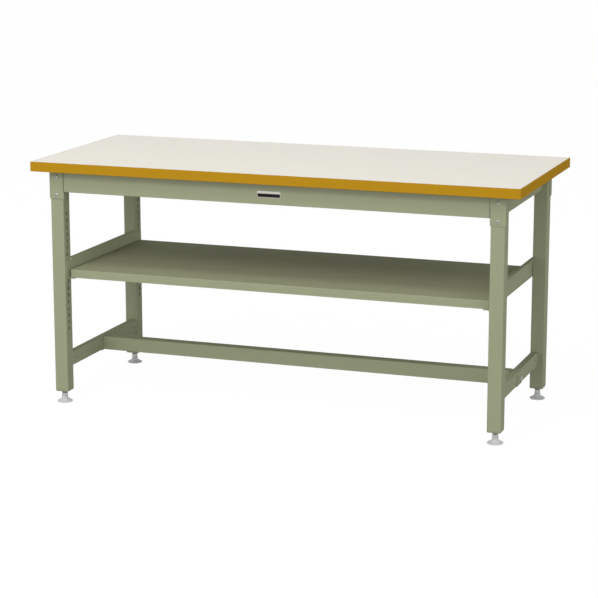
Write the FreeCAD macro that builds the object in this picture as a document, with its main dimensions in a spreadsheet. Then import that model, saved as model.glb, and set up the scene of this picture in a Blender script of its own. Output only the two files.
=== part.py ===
import FreeCAD, Part
import math
import os
import re

import Sketcher
from FreeCAD import Placement, Rotation, Vector

# Assembly table: a banded, laminated worktop on a bolted steel frame with four slotted legs,
# a hooked-in sheet shelf, a lower H of rails and four levelling feet.
# Millimetres. +X is the table's right, +Y its back, +Z up. The origin is on the floor, below
# the middle of the worktop.

# ---------------------------------------------------------------------------------------------
# Driving sizes: alias, value and meaning
# ---------------------------------------------------------------------------------------------
SIZES = [
    # worktop
    ("top_length", 1800, "length of the worktop along X"),
    ("top_depth", 750, "depth of the worktop along Y"),
    ("top_thickness", 35, "height of the worktop's edge"),
    ("laminate_thickness", 1.2, "sheet on top of the core"),
    ("backing_thickness", 0.8, "balancing sheet under the core"),
    ("band_thickness", 3, "edge band, measured across the edge"),
    ("band_radius", 1.5, "rounding of the edge band's outer edges"),
    # legs
    ("frame_height", 853.5, "bottom of the legs to the work surface"),
    ("leg_overhang_side", 60, "end of the worktop to the outer face of a leg"),
    ("leg_overhang_front", 37.5, "front of the worktop to the front face of a leg"),
    ("leg_size", 50, "side of the square leg tube"),
    ("leg_wall", 1.6, "wall of the leg tube"),
    ("leg_radius", 3, "outer corner radius of the leg tube"),
    ("slot_count", 18, "slots up the inner side of each leg"),
    ("slot_pitch", 25, "distance between two slots"),
    ("slot_drop", 192.5, "work surface down to the middle of the first slot"),
    ("slot_height", 14, "height of a slot"),
    ("slot_width", 8, "width of a slot"),
    # corner brackets and beams under the worktop
    ("bracket_height", 100, "height of a corner bracket"),
    ("bracket_depth", 30, "face of a corner bracket back to the end of its side flanges"),
    ("bracket_wall", 2.7, "sheet of a corner bracket"),
    ("bracket_gap", 0.3, "clearance between a leg and its bracket"),
    ("bracket_radius", 3.5, "outer bend radius of a bracket"),
    ("bracket_bolt_drop", 20, "underside of the worktop down to the upper bolt"),
    ("bracket_bolt_rise", 13.5, "bottom edge of a bracket up to the lower bolt"),
    ("beam_height", 75, "height of the beams under the worktop"),
    ("beam_width", 26, "flange width of a beam"),
    ("beam_wall", 2, "sheet of a beam"),
    ("beam_radius", 2, "outer bend radius of a beam"),
    ("side_inset", 3, "inner face of a leg out to the inner face of the side beam or rail"),
    # name plate
    ("plate_length", 86, "length of the name plate"),
    ("plate_height", 22, "height of the name plate"),
    ("plate_thickness", 1, "thickness of the name plate"),
    ("plate_radius", 1.5, "corner radius of the name plate"),
    ("plate_drop", 39, "underside of the worktop down to the middle of the name plate"),
    # shelf
    ("slot_count_above_shelf", 9, "slots above the one that holds a shelf rail's lower hooks"),
    ("shelf_height", 30, "height of the shelf's lip"),
    ("shelf_sheet", 1.2, "sheet of the shelf"),
    ("shelf_hem", 12, "width of the hem under the shelf's lip"),
    ("shelf_radius", 2, "outer bend radius of the shelf"),
    ("shelf_end_gap", 5.5, "end of the shelf to the web of its rail"),
    ("shelf_setback", 28.5, "front face of a leg back to the front of the shelf"),
    ("stiffener_width", 44, "width of the stiffener's box"),
    ("stiffener_height", 20, "height of the stiffener"),
    ("stiffener_flange", 14, "spot-welded flange on each side of the stiffener"),
    ("stiffener_gap", 2, "end of the stiffener to the shelf's lip"),
    # shelf rails
    ("rail_sheet", 2.5, "sheet of a shelf rail"),
    ("rail_drop", 11, "middle of the lower hook slot down to the shelf's seat"),
    ("rail_rise", 58.5, "middle of the lower hook slot up to the top of the rail"),
    ("rail_step", 5, "how much lower the web is where it crosses a leg"),
    ("rail_seat", 26, "inner face of a leg in to the edge of the shelf's seat"),
    ("rail_flange", 13, "inner face of a leg out to the edge of the top flange"),
    ("rail_setback", 6.5, "front face of a leg back to the end of the rail's web"),
    ("rail_seat_setback", 21.5, "front face of a leg back to the end of the shelf's seat"),
    ("rail_leg_gap", 1.5, "end of the top flange to the leg beside it"),
    ("hook_side_gap", 0.5, "clearance between a hook and each side of its slot"),
    ("hook_height", 9, "height of a hook's neck"),
    ("hook_reach", 4.5, "how far a hook reaches down behind the leg's wall"),
    ("hook_tip", 3, "thickness of a hook's tip"),
    ("hook_gap", 0.3, "clearance between a hook's tip and the leg's wall"),
    # lower rails
    ("lower_rise", 90, "bottom of the legs up to the underside of the lower rails"),
    ("lower_height", 50, "height of the lower rails"),
    ("lower_width", 26, "width of a lower side rail"),
    ("lower_wall", 1.6, "wall of the lower rails"),
    ("lower_radius", 2, "outer corner radius of the lower rails"),
    ("lower_hole", 8, "diameter of the hole near each end of a lower side rail"),
    ("lower_hole_setback", 33.5, "leg to the middle of that hole"),
    ("cross_depth", 46, "depth of the cross rail along Y"),
    ("end_plate", 3.2, "plate that closes an end of the cross rail"),
    ("end_plate_margin", 1, "how far the cross rail's section stands past its end plate"),
    ("saddle_wall", 2.3, "sheet of the saddle around a lower side rail"),
    ("saddle_length", 70, "length of a saddle along Y"),
    ("saddle_height", 50, "height of a saddle"),
    ("saddle_radius", 3, "outer bend radius of a saddle"),
    # bolts, nuts and screws
    ("bolt_diameter", 8, "shank of the frame bolts"),
    ("bolt_gap", 0.5, "clearance around a bolt in the sheet that it passes"),
    ("thread_gap", 0.1, "clearance between a thread and its nut"),
    ("button_diameter", 14, "head of a bracket bolt"),
    ("button_height", 4.4, "height of a bracket bolt's head"),
    ("button_dome", 3.4, "rounding of a bracket bolt's head"),
    ("button_length", 16, "length of a bracket bolt below its head"),
    ("button_socket", 5, "across the flats of a bracket bolt's socket"),
    ("button_socket_depth", 2.6, "depth of a bracket bolt's socket"),
    ("hex_across", 13, "across the flats of the frame nuts and hexagon heads"),
    ("hex_head", 5.3, "height of a hexagon head"),
    ("nut_height", 6.5, "height of a frame nut"),
    ("washer_diameter", 16, "outer diameter of a washer"),
    ("washer_thickness", 1.6, "thickness of a washer"),
    ("bolt_end", 1.5, "how far a cross-rail bolt stands out of its nut"),
    ("screw_diameter", 4.8, "shank of the sheet screws"),
    ("screw_head", 9.5, "head of a sheet screw"),
    ("screw_head_height", 3, "height of a sheet screw's head"),
    ("screw_gap", 0.4, "clearance around a sheet screw in the sheet that it passes"),
    ("top_screw_length", 25, "length of a worktop screw below its head"),
    ("top_screw_setback", 60, "end of a beam to its first worktop screw"),
    ("shelf_screw_length", 12, "length of a shelf screw below its head"),
    ("shelf_screw_setback", 100, "end of the shelf to its screw"),
    # levelling feet
    ("foot_height", 41.5, "floor to the bottom of the legs, with the feet screwed in"),
    ("cap_height", 10, "end cap below the leg tube"),
    ("cap_spigot", 25, "end cap inside the leg tube"),
    ("cap_gap", 0.3, "clearance between the end cap and the inside of the tube"),
    ("cap_radius", 5, "rounding around the bottom of the end cap"),
    ("stem_diameter", 12, "thread of the levelling foot"),
    ("stem_reach", 55, "bottom of the leg up to the end of the thread"),
    ("stem_chamfer", 1, "chamfer at the end of the thread"),
    ("foot_hex", 19, "across the flats of the foot's collar and lock nut"),
    ("lock_nut_height", 7.5, "height of the lock nut"),
    ("collar_gap", 1, "lock nut down to the foot's collar"),
    ("pin_diameter", 10, "pin of the stem in its pad"),
    ("pin_length", 14, "length of that pin"),
    ("pin_gap", 0.1, "clearance around the pin and below it"),
    ("pad_diameter", 56, "diameter of the pad on the floor"),
    ("pad_chamfer", 1.5, "chamfer of the pad's rim"),
    ("pad_rim", 4.5, "height of the pad's rim"),
    ("pad_cone", 9.5, "height of the cone above the rim"),
    ("pad_neck", 22, "diameter of the pad's neck"),
    ("pad_height", 26, "floor to the top of the pad's neck"),
    ("ring_width", 0.8, "width of a groove around the neck"),
    ("ring_depth", 0.5, "depth of a groove around the neck"),
    ("ring_spacing", 5, "top of the neck down to a groove, and on to the next"),
]

# Places worked out from the sizes, so that pieces that meet share one formula
PLACES = {
    "surface": "foot_height + frame_height",
    "underside": "surface - top_thickness",
    "leg_x": "top_length / 2 - leg_overhang_side - leg_size / 2",
    "leg_y": "top_depth / 2 - leg_overhang_front - leg_size / 2",
    "leg_inner_x": "leg_x - leg_size / 2",
    "leg_inner_y": "leg_y - leg_size / 2",
    "leg_front": "leg_y + leg_size / 2",
    "bracket_width": "leg_size + 2 * (bracket_gap + bracket_wall)",
    "bracket_inner_x": "leg_x - bracket_width / 2",
    "bracket_front": "leg_y + bracket_width / 2",
    "side_outer": "leg_inner_x + side_inset + beam_width",
    "upper_bolt_z": "underside - bracket_bolt_drop",
    "lower_bolt_z": "underside - bracket_height + bracket_bolt_rise",
    "hook_z": "surface - slot_drop - slot_pitch * slot_count_above_shelf",
    "hook_width": "slot_width - 2 * hook_side_gap",
    "seat_z": "hook_z - rail_drop",
    "shelf_top": "seat_z + shelf_height",
    "shelf_x": "leg_inner_x - rail_sheet - shelf_end_gap",
    "shelf_y": "leg_front - shelf_setback",
    "shelf_screw_x": "shelf_x - shelf_hem / 2",
    "shelf_screw_y": "shelf_y - shelf_screw_setback",
    "lower_x": "leg_inner_x + side_inset + lower_width / 2",
    "lower_z": "foot_height + lower_rise + lower_height / 2",
    "saddle_inner": "lower_x - lower_width / 2 - saddle_wall",
    "saddle_outer": "lower_x + lower_width / 2 + saddle_wall",
    "cross_x": "saddle_inner - end_plate",
    "bolt_hole": "bolt_diameter / 2 + bolt_gap",
    "nut_bore": "bolt_diameter / 2 + thread_gap",
    "screw_hole": "screw_diameter / 2 + screw_gap",
    "pilot_hole": "screw_diameter / 2 + thread_gap",
    "stem_bore": "stem_diameter / 2 + thread_gap",
    "lock_nut_z": "foot_height - lock_nut_height",
}

# Worktop screws in each beam
FRONT_SCREWS = 4
SIDE_SCREWS = 3

# The four corners: name, side along X and side along Y
CORNERS = [
    ("front_left", -1, -1),
    ("front_right", 1, -1),
    ("back_left", -1, 1),
    ("back_right", 1, 1),
]
ENDS = [("left", -1), ("right", 1)]

# Hexagons: where their corners' chamfer starts, as a share of the width across flats, and its slope
CHAMFER_START = 0.475
CHAMFER_SLOPE = math.tan(math.radians(30))

# The sketcher's numbers for a point of a line or circle, and for the sketch's origin
START = 1
END = 2
CENTRE = 3
ORIGIN = -1

doc = FreeCAD.newDocument("assembly_table")
sheet = doc.addObject("Spreadsheet::Sheet", "sizes")
for row, (alias, value, meaning) in enumerate(SIZES, start=1):
    sheet.set(f"A{row}", meaning)
    sheet.set(f"B{row}", str(value))
    sheet.setAlias(f"B{row}", alias)
doc.recompute()

ALIASES = {alias for alias, value, meaning in SIZES}
pieces = []


# ---------------------------------------------------------------------------------------------
# Helpers
# ---------------------------------------------------------------------------------------------
def formula(text):
    """Turn a formula in the sizes' and places' own names into a document expression."""
    def expand(match):
        word = match.group(0)
        if word in PLACES:
            return "(" + formula(PLACES[word]) + ")"
        if word in ALIASES:
            return "sizes." + word
        return word
    return re.sub(r"[a-z][a-z_]*", expand, str(text))


def number(text):
    """The present value of a formula."""
    return float(sheet.evalExpression(formula(text)))


def bind(thing, path, text):
    """Tie a property to a formula."""
    thing.setExpression(path, formula(text))


def place(thing, x, y, z, turn=0):
    """Put a thing at a place given by formulas, turned about Z by whole degrees."""
    thing.Placement = Placement(Vector(), Rotation(Vector(0, 0, 1), turn))
    for axis, text in zip("xyz", (x, y, z)):
        bind(thing, f"Placement.Base.{axis}", text)


def piece(name, x="0", y="0", z="0", turn=0):
    """Start the body of a piece that is written to its own file."""
    body = doc.addObject("PartDesign::Body", name)
    body.Label = name
    place(body, x, y, z, turn)
    pieces.append(body)
    return body


def sketch_on(body, name, role, offset="0"):
    """A sketch on an origin plane of its body, moved along that plane's normal."""
    sketch = body.newObject("Sketcher::SketchObject", name)
    plane = [item for item in body.Origin.OriginFeatures if item.Role == role][0]
    sketch.AttachmentSupport = [(plane, "")]
    sketch.MapMode = "FlatFace"
    bind(sketch, "AttachmentOffset.Base.z", offset)
    return sketch


def pin_point(sketch, line, end, along_x, along_y):
    """Fix one end of a line, or the centre of a circle, at a place given by formulas."""
    for kind, text in (("DistanceX", along_x), ("DistanceY", along_y)):
        distance = number(text)
        constraint = Sketcher.Constraint(kind, ORIGIN, START, line, end, distance)
        index = sketch.addConstraint(constraint)
        bind(sketch, f"Constraints[{index}]", text)


def polygon(sketch, points):
    """A closed outline through points given by formulas."""
    first = sketch.GeometryCount
    count = len(points)
    corners = [Vector(number(x), number(y), 0) for x, y in points]
    for index in range(count):
        line = Part.LineSegment(corners[index], corners[(index + 1) % count])
        sketch.addGeometry(line, False)
    for index in range(count):
        ahead = first + (index + 1) % count
        sketch.addConstraint(Sketcher.Constraint("Coincident", first + index, END, ahead, START))
    for index, (x, y) in enumerate(points):
        pin_point(sketch, first + index, START, x, y)


def rectangle(sketch, left, low, right, high):
    """A rectangle between two corners given by formulas."""
    polygon(sketch, [(left, low), (right, low), (right, high), (left, high)])


def centred(sketch, width, height):
    """A rectangle about the sketch's origin."""
    half_width = f"({width}) / 2"
    half_height = f"({height}) / 2"
    rectangle(sketch, f"-{half_width}", f"-{half_height}", half_width, half_height)


def circle(sketch, radius, x="0", y="0"):
    """A circle of a radius and centre given by formulas."""
    centre = Vector(number(x), number(y), 0)
    line = sketch.addGeometry(Part.Circle(centre, Vector(0, 0, 1), number(radius)), False)
    index = sketch.addConstraint(Sketcher.Constraint("Radius", line, number(radius)))
    bind(sketch, f"Constraints[{index}]", radius)
    pin_point(sketch, line, CENTRE, x, y)


def hexagon(sketch, across):
    """A hexagon about the sketch's origin, given across its flats."""
    points = []
    for index in range(6):
        angle = math.radians(60 * index + 30)
        to_corner = 1 / math.sqrt(3)
        x = f"({across}) * {to_corner * math.cos(angle):.9f}"
        y = f"({across}) * {to_corner * math.sin(angle):.9f}"
        points.append((x, y))
    polygon(sketch, points)


def extrude(body, kind, sketch, length, sides="One side", backwards=False):
    """Pad or pocket a sketch; a pad goes along the sketch's normal, a pocket against it."""
    feature = body.newObject("PartDesign::" + kind, f"{sketch.Name}_{kind.lower()}")
    feature.Profile = sketch
    feature.SideType = sides
    feature.Reversed = backwards
    bind(feature, "Length", length)
    return feature


def pad(body, sketch, length, sides="One side", backwards=False):
    """Add a sketch's extrusion to its body."""
    return extrude(body, "Pad", sketch, length, sides, backwards)


def volume(body):
    """Volume of a body as far as it is made."""
    doc.recompute()
    return body.Shape.Volume


def must_cut(body, feature, before):
    """Make sure that a cut has taken something away."""
    if volume(body) > before - 1e-6:
        raise RuntimeError(f"{feature.Name} cuts nothing")


def pocket(body, sketch, length, sides="One side", backwards=False):
    """Cut a sketch's extrusion out of its body."""
    before = volume(body)
    feature = extrude(body, "Pocket", sketch, length, sides, backwards)
    must_cut(body, feature, before)
    return feature


def turn_sketch(body, kind, sketch, axis):
    """Turn a sketch once around its vertical or horizontal axis."""
    feature = body.newObject("PartDesign::" + kind, f"{sketch.Name}_{kind.lower()}")
    feature.Profile = sketch
    feature.ReferenceAxis = (sketch, [axis])
    feature.Angle = 360
    return feature


def revolve(body, sketch):
    """Add a sketch turned around the body's Z axis."""
    return turn_sketch(body, "Revolution", sketch, "V_Axis")


def chamfer_corners(body, name, across, face, inward, axis="z"):
    """Turn a hexagon's corners off at one face; inward is +1 or -1 along its axis."""
    start = f"({across}) * {CHAMFER_START}"
    beyond = f"({across}) * {CHAMFER_START + 0.2}"
    rise = f"({face}) + {inward} * ({beyond} - {start}) * {CHAMFER_SLOPE:.6f}"
    outline = [(start, face), (beyond, face), (beyond, rise)]
    if axis == "z":
        profile = sketch_on(body, name, "XZ_Plane")
        polygon(profile, outline)
        around = "V_Axis"
    else:
        profile = sketch_on(body, name, "YZ_Plane")
        polygon(profile, [(along, radius) for radius, along in outline])
        around = "H_Axis"
    before = volume(body)
    feature = turn_sketch(body, "Groove", profile, around)
    must_cut(body, feature, before)


def round_edges(body, radius, wanted):
    """Round those edges of a body, as far as it is made, for which wanted(edge) is true."""
    doc.recompute()
    base = body.Tip
    names = []
    for index, edge in enumerate(base.Shape.Edges, start=1):
        if wanted(edge):
            names.append(f"Edge{index}")
    feature = body.newObject("PartDesign::Fillet", body.Name + "_fillet")
    feature.Base = (base, names)
    bind(feature, "Radius", radius)
    return feature


def same(first, second):
    """Whether two lengths are the same."""
    return abs(first - second) < 1e-4


def runs_along(edge, axis):
    """Whether an edge is straight and parallel to the body's x, y or z."""
    if edge.Curve.TypeId != "Part::GeomLine":
        return False
    return same(abs(getattr(edge.Curve.Direction, axis)), 1)


def lies_at(edge, axis, distance):
    """Whether a whole edge lies at one distance along the body's x, y or z."""
    box = edge.BoundBox
    low = getattr(box, axis.upper() + "Min")
    high = getattr(box, axis.upper() + "Max")
    return same(low, distance) and same(high, distance)


def spread(index, count, half_length):
    """Formula of one of several even places between minus and plus a half length."""
    return f"({half_length}) * {2 * index - count + 1} / {count - 1}"


def group(name, master, places):
    """One node of several separate copies of a fastener, each placed by formulas."""
    copies = []
    for index, (x, y, z, turn) in enumerate(places):
        copy = doc.addObject("App::Link", f"{name}_{index + 1}")
        copy.LinkedObject = master
        copy.LinkTransform = False
        place(copy, x, y, z, turn)
        copies.append(copy)
    compound = doc.addObject("Part::Compound", name)
    compound.Label = name
    compound.Links = copies
    pieces.append(compound)


# ---------------------------------------------------------------------------------------------
# Worktop screw places: used by the screws, the beams, the backing and the core
# ---------------------------------------------------------------------------------------------
def beam_screws(half_length, count):
    """Places along a beam of its worktop screws."""
    reach = f"{half_length} - top_screw_setback"
    return [spread(index, count, reach) for index in range(count)]


TOP_SCREWS = []
for side in (-1, 1):
    for along in beam_screws("bracket_inner_x", FRONT_SCREWS):
        TOP_SCREWS.append((along, f"{side} * (bracket_front - beam_width / 2)"))
    for along in beam_screws("leg_inner_y", SIDE_SCREWS):
        TOP_SCREWS.append((f"{side} * (side_outer - beam_width / 2)", along))


# ---------------------------------------------------------------------------------------------
# Worktop: core, laminate, backing and four edge bands
# ---------------------------------------------------------------------------------------------
def worktop_sheet(name, bottom, thickness):
    """A sheet of the worktop between the edge bands; the screws' side is its underside."""
    body = piece(name, z=bottom)
    outline = sketch_on(body, name + "_outline", "XY_Plane")
    centred(outline, "top_length - 2 * band_thickness", "top_depth - 2 * band_thickness")
    pad(body, outline, thickness)
    return body


def screw_holes(body, name, radius, depth):
    """Holes for the worktop screws, up from the underside of a sheet."""
    holes = sketch_on(body, name + "_holes", "XY_Plane")
    for x, y in TOP_SCREWS:
        circle(holes, radius, x, y)
    pocket(body, holes, depth, backwards=True)


worktop_sheet("worktop_laminate", "surface - laminate_thickness", "laminate_thickness")
core_thickness = "top_thickness - laminate_thickness - backing_thickness"
core = worktop_sheet("worktop_core", "underside + backing_thickness", core_thickness)
screw_holes(core, "worktop_core", "pilot_hole", "top_screw_length - beam_wall")
backing = worktop_sheet("worktop_backing", "underside", "backing_thickness")
screw_holes(backing, "worktop_backing", "screw_hole", "backing_thickness")


def edge_band(name, length, x, y, turn, round_ends):
    """A band along X with its outer face at y = 0; the long ones also round their ends."""
    body = piece(name, x, y, "underside", turn)
    section = sketch_on(body, name + "_section", "YZ_Plane")
    rectangle(section, "0", "0", "band_thickness", "top_thickness")
    pad(body, section, length, sides="Symmetric")

    def outer(edge):
        if runs_along(edge, "x"):
            return lies_at(edge, "y", 0)
        return round_ends and (runs_along(edge, "y") or lies_at(edge, "y", 0))

    round_edges(body, "band_radius", outer)


inner_depth = "top_depth - 2 * band_thickness"
edge_band("edge_band_front", "top_length", "0", "-top_depth / 2", 0, True)
edge_band("edge_band_back", "top_length", "0", "top_depth / 2", 180, True)
edge_band("edge_band_right", inner_depth, "top_length / 2", "0", 90, False)
edge_band("edge_band_left", inner_depth, "-top_length / 2", "0", -90, False)


# ---------------------------------------------------------------------------------------------
# Beams: four channels, open to the inside, under the worktop. The long ones end at the corner
# brackets' side flanges, the side ones at the legs.
# ---------------------------------------------------------------------------------------------
def beam(name, half_length, x, y, turn, screw_count):
    """A channel along X with its web at y = 0 and its top flange under the worktop."""
    body = piece(name, x, y, "underside", turn)
    section = sketch_on(body, name + "_section", "YZ_Plane")
    polygon(section, [
        ("0", "0"),
        ("beam_width", "0"),
        ("beam_width", "-beam_wall"),
        ("beam_wall", "-beam_wall"),
        ("beam_wall", "-beam_height + beam_wall"),
        ("beam_width", "-beam_height + beam_wall"),
        ("beam_width", "-beam_height"),
        ("0", "-beam_height"),
    ])
    pad(body, section, f"2 * ({half_length})", sides="Symmetric")
    holes = sketch_on(body, name + "_holes", "XY_Plane")
    for along in beam_screws(half_length, screw_count):
        circle(holes, "screw_hole", along, "beam_width / 2")
    pocket(body, holes, "beam_wall")

    round_edges(body, "beam_radius", lambda edge: runs_along(edge, "x") and lies_at(edge, "y", 0))


beam("front_beam", "bracket_inner_x", "0", "-bracket_front", 0, FRONT_SCREWS)
beam("back_beam", "bracket_inner_x", "0", "bracket_front", 180, FRONT_SCREWS)
beam("right_beam", "leg_inner_y", "side_outer", "0", 90, SIDE_SCREWS)
beam("left_beam", "leg_inner_y", "-(side_outer)", "0", -90, SIDE_SCREWS)

# Bare plate on the front beam
plate = piece("name_plate", y="-(bracket_front)", z="underside - plate_drop")
plate_outline = sketch_on(plate, "name_plate_outline", "XZ_Plane")
centred(plate_outline, "plate_length", "plate_height")
pad(plate, plate_outline, "plate_thickness")
round_edges(plate, "plate_radius", lambda edge: runs_along(edge, "y"))


# ---------------------------------------------------------------------------------------------
# Corner brackets and legs: the bolts go through the bracket's face into a nut in the leg
# ---------------------------------------------------------------------------------------------
def corner_turn(side_y):
    """Front corners stand as drawn; back corners are turned round."""
    return 0 if side_y < 0 else 180


def upright(edge):
    """Edges that run up and down."""
    return runs_along(edge, "z")


def corner_bracket(corner, side_x, side_y):
    """A U of sheet around a leg's outer face; its origin is on the leg's axis under the worktop."""
    name = "corner_bracket_" + corner
    body = piece(name, f"{side_x} * leg_x", f"{side_y} * leg_y", "underside", corner_turn(side_y))
    outer = "bracket_width / 2"
    inner = "(leg_size / 2 + bracket_gap)"
    back = "bracket_depth - bracket_width / 2"
    outline = sketch_on(body, name + "_outline", "XY_Plane", "-bracket_height")
    polygon(outline, [
        (f"-{outer}", f"-{outer}"),
        (outer, f"-{outer}"),
        (outer, back),
        (inner, back),
        (inner, f"-{inner}"),
        (f"-{inner}", f"-{inner}"),
        (f"-{inner}", back),
        (f"-{outer}", back),
    ])
    pad(body, outline, "bracket_height")
    face = -number(outer)
    round_edges(body, "bracket_radius", lambda edge: upright(edge) and lies_at(edge, "y", face))
    holes = sketch_on(body, name + "_holes", "XZ_Plane", outer)
    circle(holes, "bolt_hole", "0", "-bracket_bolt_drop")
    circle(holes, "bolt_hole", "0", "-bracket_height + bracket_bolt_rise")
    pocket(body, holes, "bracket_wall")


def leg(corner, side_x, side_y):
    """A square tube with a row of slots towards the table's middle."""
    name = "leg_" + corner
    turn = corner_turn(side_y)
    body = piece(name, f"{side_x} * leg_x", f"{side_y} * leg_y", "foot_height", turn)
    tube_length = "frame_height - top_thickness - cap_height"
    outline = sketch_on(body, name + "_outline", "XY_Plane", "cap_height")
    centred(outline, "leg_size", "leg_size")
    pad(body, outline, tube_length)
    round_edges(body, "leg_radius", upright)
    bore = sketch_on(body, name + "_bore", "XY_Plane", "cap_height")
    centred(bore, "leg_size - 2 * leg_wall", "leg_size - 2 * leg_wall")
    pocket(body, bore, tube_length, backwards=True)
    holes = sketch_on(body, name + "_holes", "XZ_Plane", "leg_size / 2")
    circle(holes, "bolt_hole", "0", "upper_bolt_z - foot_height")
    circle(holes, "bolt_hole", "0", "lower_bolt_z - foot_height")
    pocket(body, holes, "leg_wall")

    # the slots face the other leg of the same pair, whichever way the tube is turned
    facing = side_x * side_y
    slot = sketch_on(body, name + "_slot", "YZ_Plane", f"{facing} * leg_size / 2")
    middle = "frame_height - slot_drop"
    low = f"{middle} - slot_height / 2"
    high = f"{middle} + slot_height / 2"
    rectangle(slot, "-slot_width / 2", low, "slot_width / 2", high)
    first = pocket(body, slot, "leg_wall", backwards=facing < 0)
    row = body.newObject("PartDesign::LinearPattern", name + "_slots")
    row.Originals = [first]
    axis = [item for item in body.Origin.OriginFeatures if item.Role == "Z_Axis"][0]
    row.Direction = (axis, [""])
    row.Reversed = True
    row.Mode = "Spacing"
    bind(row, "Offset", "slot_pitch")
    bind(row, "Occurrences", "slot_count")
    body.Tip = row


def leg_end_cap(corner, side_x, side_y):
    """A block under the leg tube with a spigot up into it and a thread for the foot."""
    name = "leg_end_cap_" + corner
    body = piece(name, f"{side_x} * leg_x", f"{side_y} * leg_y", "foot_height")
    block = sketch_on(body, name + "_block", "XY_Plane")
    centred(block, "leg_size", "leg_size")
    pad(body, block, "cap_height")
    round_edges(body, "cap_radius", lambda edge: lies_at(edge, "z", 0))
    round_edges(body, "leg_radius", upright)
    spigot = sketch_on(body, name + "_spigot", "XY_Plane", "cap_height")
    width = "leg_size - 2 * leg_wall - 2 * cap_gap"
    centred(spigot, width, width)
    pad(body, spigot, "cap_spigot")
    bore = sketch_on(body, name + "_bore", "XY_Plane")
    circle(bore, "stem_bore")
    pocket(body, bore, "cap_height + cap_spigot", backwards=True)


# ---------------------------------------------------------------------------------------------
# Levelling feet: a pad, a stem that turns in it, and a lock nut against the end cap
# ---------------------------------------------------------------------------------------------
def lock_nut(corner, side_x, side_y):
    """A hexagon nut on the stem, tight against the end cap."""
    name = "lock_nut_" + corner
    body = piece(name, f"{side_x} * leg_x", f"{side_y} * leg_y", "lock_nut_z")
    outline = sketch_on(body, name + "_outline", "XY_Plane")
    hexagon(outline, "foot_hex")
    circle(outline, "stem_bore")
    pad(body, outline, "lock_nut_height")
    chamfer_corners(body, name + "_lower_chamfer", "foot_hex", "0", 1)
    chamfer_corners(body, name + "_upper_chamfer", "foot_hex", "lock_nut_height", -1)


def foot_stem(corner, side_x, side_y):
    """A threaded rod with a hexagon collar, and a pin below the collar."""
    name = "foot_stem_" + corner
    body = piece(name, f"{side_x} * leg_x", f"{side_y} * leg_y", "pad_height")
    collar_height = "lock_nut_z - collar_gap - pad_height"
    top = "foot_height + stem_reach - pad_height"
    profile = sketch_on(body, name + "_profile", "XZ_Plane")
    polygon(profile, [
        ("0", "-pin_length"),
        ("pin_diameter / 2", "-pin_length"),
        ("pin_diameter / 2", "0"),
        ("stem_diameter / 2", "0"),
        ("stem_diameter / 2", f"{top} - stem_chamfer"),
        ("stem_diameter / 2 - stem_chamfer", top),
        ("0", top),
    ])
    revolve(body, profile)
    collar = sketch_on(body, name + "_collar", "XY_Plane")
    hexagon(collar, "foot_hex")
    pad(body, collar, collar_height)
    chamfer_corners(body, name + "_lower_chamfer", "foot_hex", "0", 1)
    chamfer_corners(body, name + "_upper_chamfer", "foot_hex", collar_height, -1)


def foot_pad(corner, side_x, side_y):
    """A round pad with a cone up to a grooved neck, and a blind bore for the stem's pin."""
    name = "foot_pad_" + corner
    body = piece(name, f"{side_x} * leg_x", f"{side_y} * leg_y", "0")
    rim = "pad_diameter / 2"
    neck = "pad_neck / 2"
    groove = "pad_neck / 2 - ring_depth"
    bore = "pin_diameter / 2 + pin_gap"
    profile = sketch_on(body, name + "_profile", "XZ_Plane")
    outline = [
        ("0", "0"),
        (f"{rim} - pad_chamfer", "0"),
        (rim, "pad_chamfer"),
        (rim, "pad_rim - pad_chamfer"),
        (f"{rim} - pad_chamfer", "pad_rim"),
        (neck, "pad_rim + pad_cone"),
    ]
    for ring in (2, 1):
        level = f"pad_height - {ring} * ring_spacing"
        outline += [
            (neck, f"{level} - ring_width / 2"),
            (groove, f"{level} - ring_width / 2"),
            (groove, f"{level} + ring_width / 2"),
            (neck, f"{level} + ring_width / 2"),
        ]
    outline += [
        (neck, "pad_height"),
        (bore, "pad_height"),
        (bore, "pad_height - pin_length - pin_gap"),
        ("0", "pad_height - pin_length - pin_gap"),
    ]
    polygon(profile, outline)
    revolve(body, profile)


for make in (corner_bracket, leg, leg_end_cap, lock_nut, foot_stem, foot_pad):
    for corner, side_x, side_y in CORNERS:
        make(corner, side_x, side_y)

# ---------------------------------------------------------------------------------------------
# Shelf: a folded tray with hems, and a hat-shaped stiffener under it
# ---------------------------------------------------------------------------------------------
shelf = piece("shelf_panel", z="seat_z")
shelf_outline = sketch_on(shelf, "shelf_outline", "XY_Plane")
centred(shelf_outline, "2 * shelf_x", "2 * shelf_y")
pad(shelf, shelf_outline, "shelf_height")


def shelf_bend(edge):
    """The upright corners and the four top edges of the tray."""
    return runs_along(edge, "z") or lies_at(edge, "z", number("shelf_height"))


round_edges(shelf, "shelf_radius", shelf_bend)
tray = sketch_on(shelf, "shelf_tray", "XY_Plane", "shelf_sheet")
centred(tray, "2 * (shelf_x - shelf_sheet)", "2 * (shelf_y - shelf_sheet)")
pocket(shelf, tray, "shelf_height - 2 * shelf_sheet", backwards=True)
mouth = sketch_on(shelf, "shelf_mouth", "XY_Plane")
centred(mouth, "2 * (shelf_x - shelf_hem)", "2 * (shelf_y - shelf_hem)")
pocket(shelf, mouth, "shelf_sheet", backwards=True)
SHELF_SCREWS = [(f"{side_x} * shelf_screw_x", f"{side_y} * shelf_screw_y")
                for corner, side_x, side_y in CORNERS]
shelf_holes = sketch_on(shelf, "shelf_holes", "XY_Plane")
for x, y in SHELF_SCREWS:
    circle(shelf_holes, "pilot_hole", x, y)
pocket(shelf, shelf_holes, "shelf_sheet", backwards=True)

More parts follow.
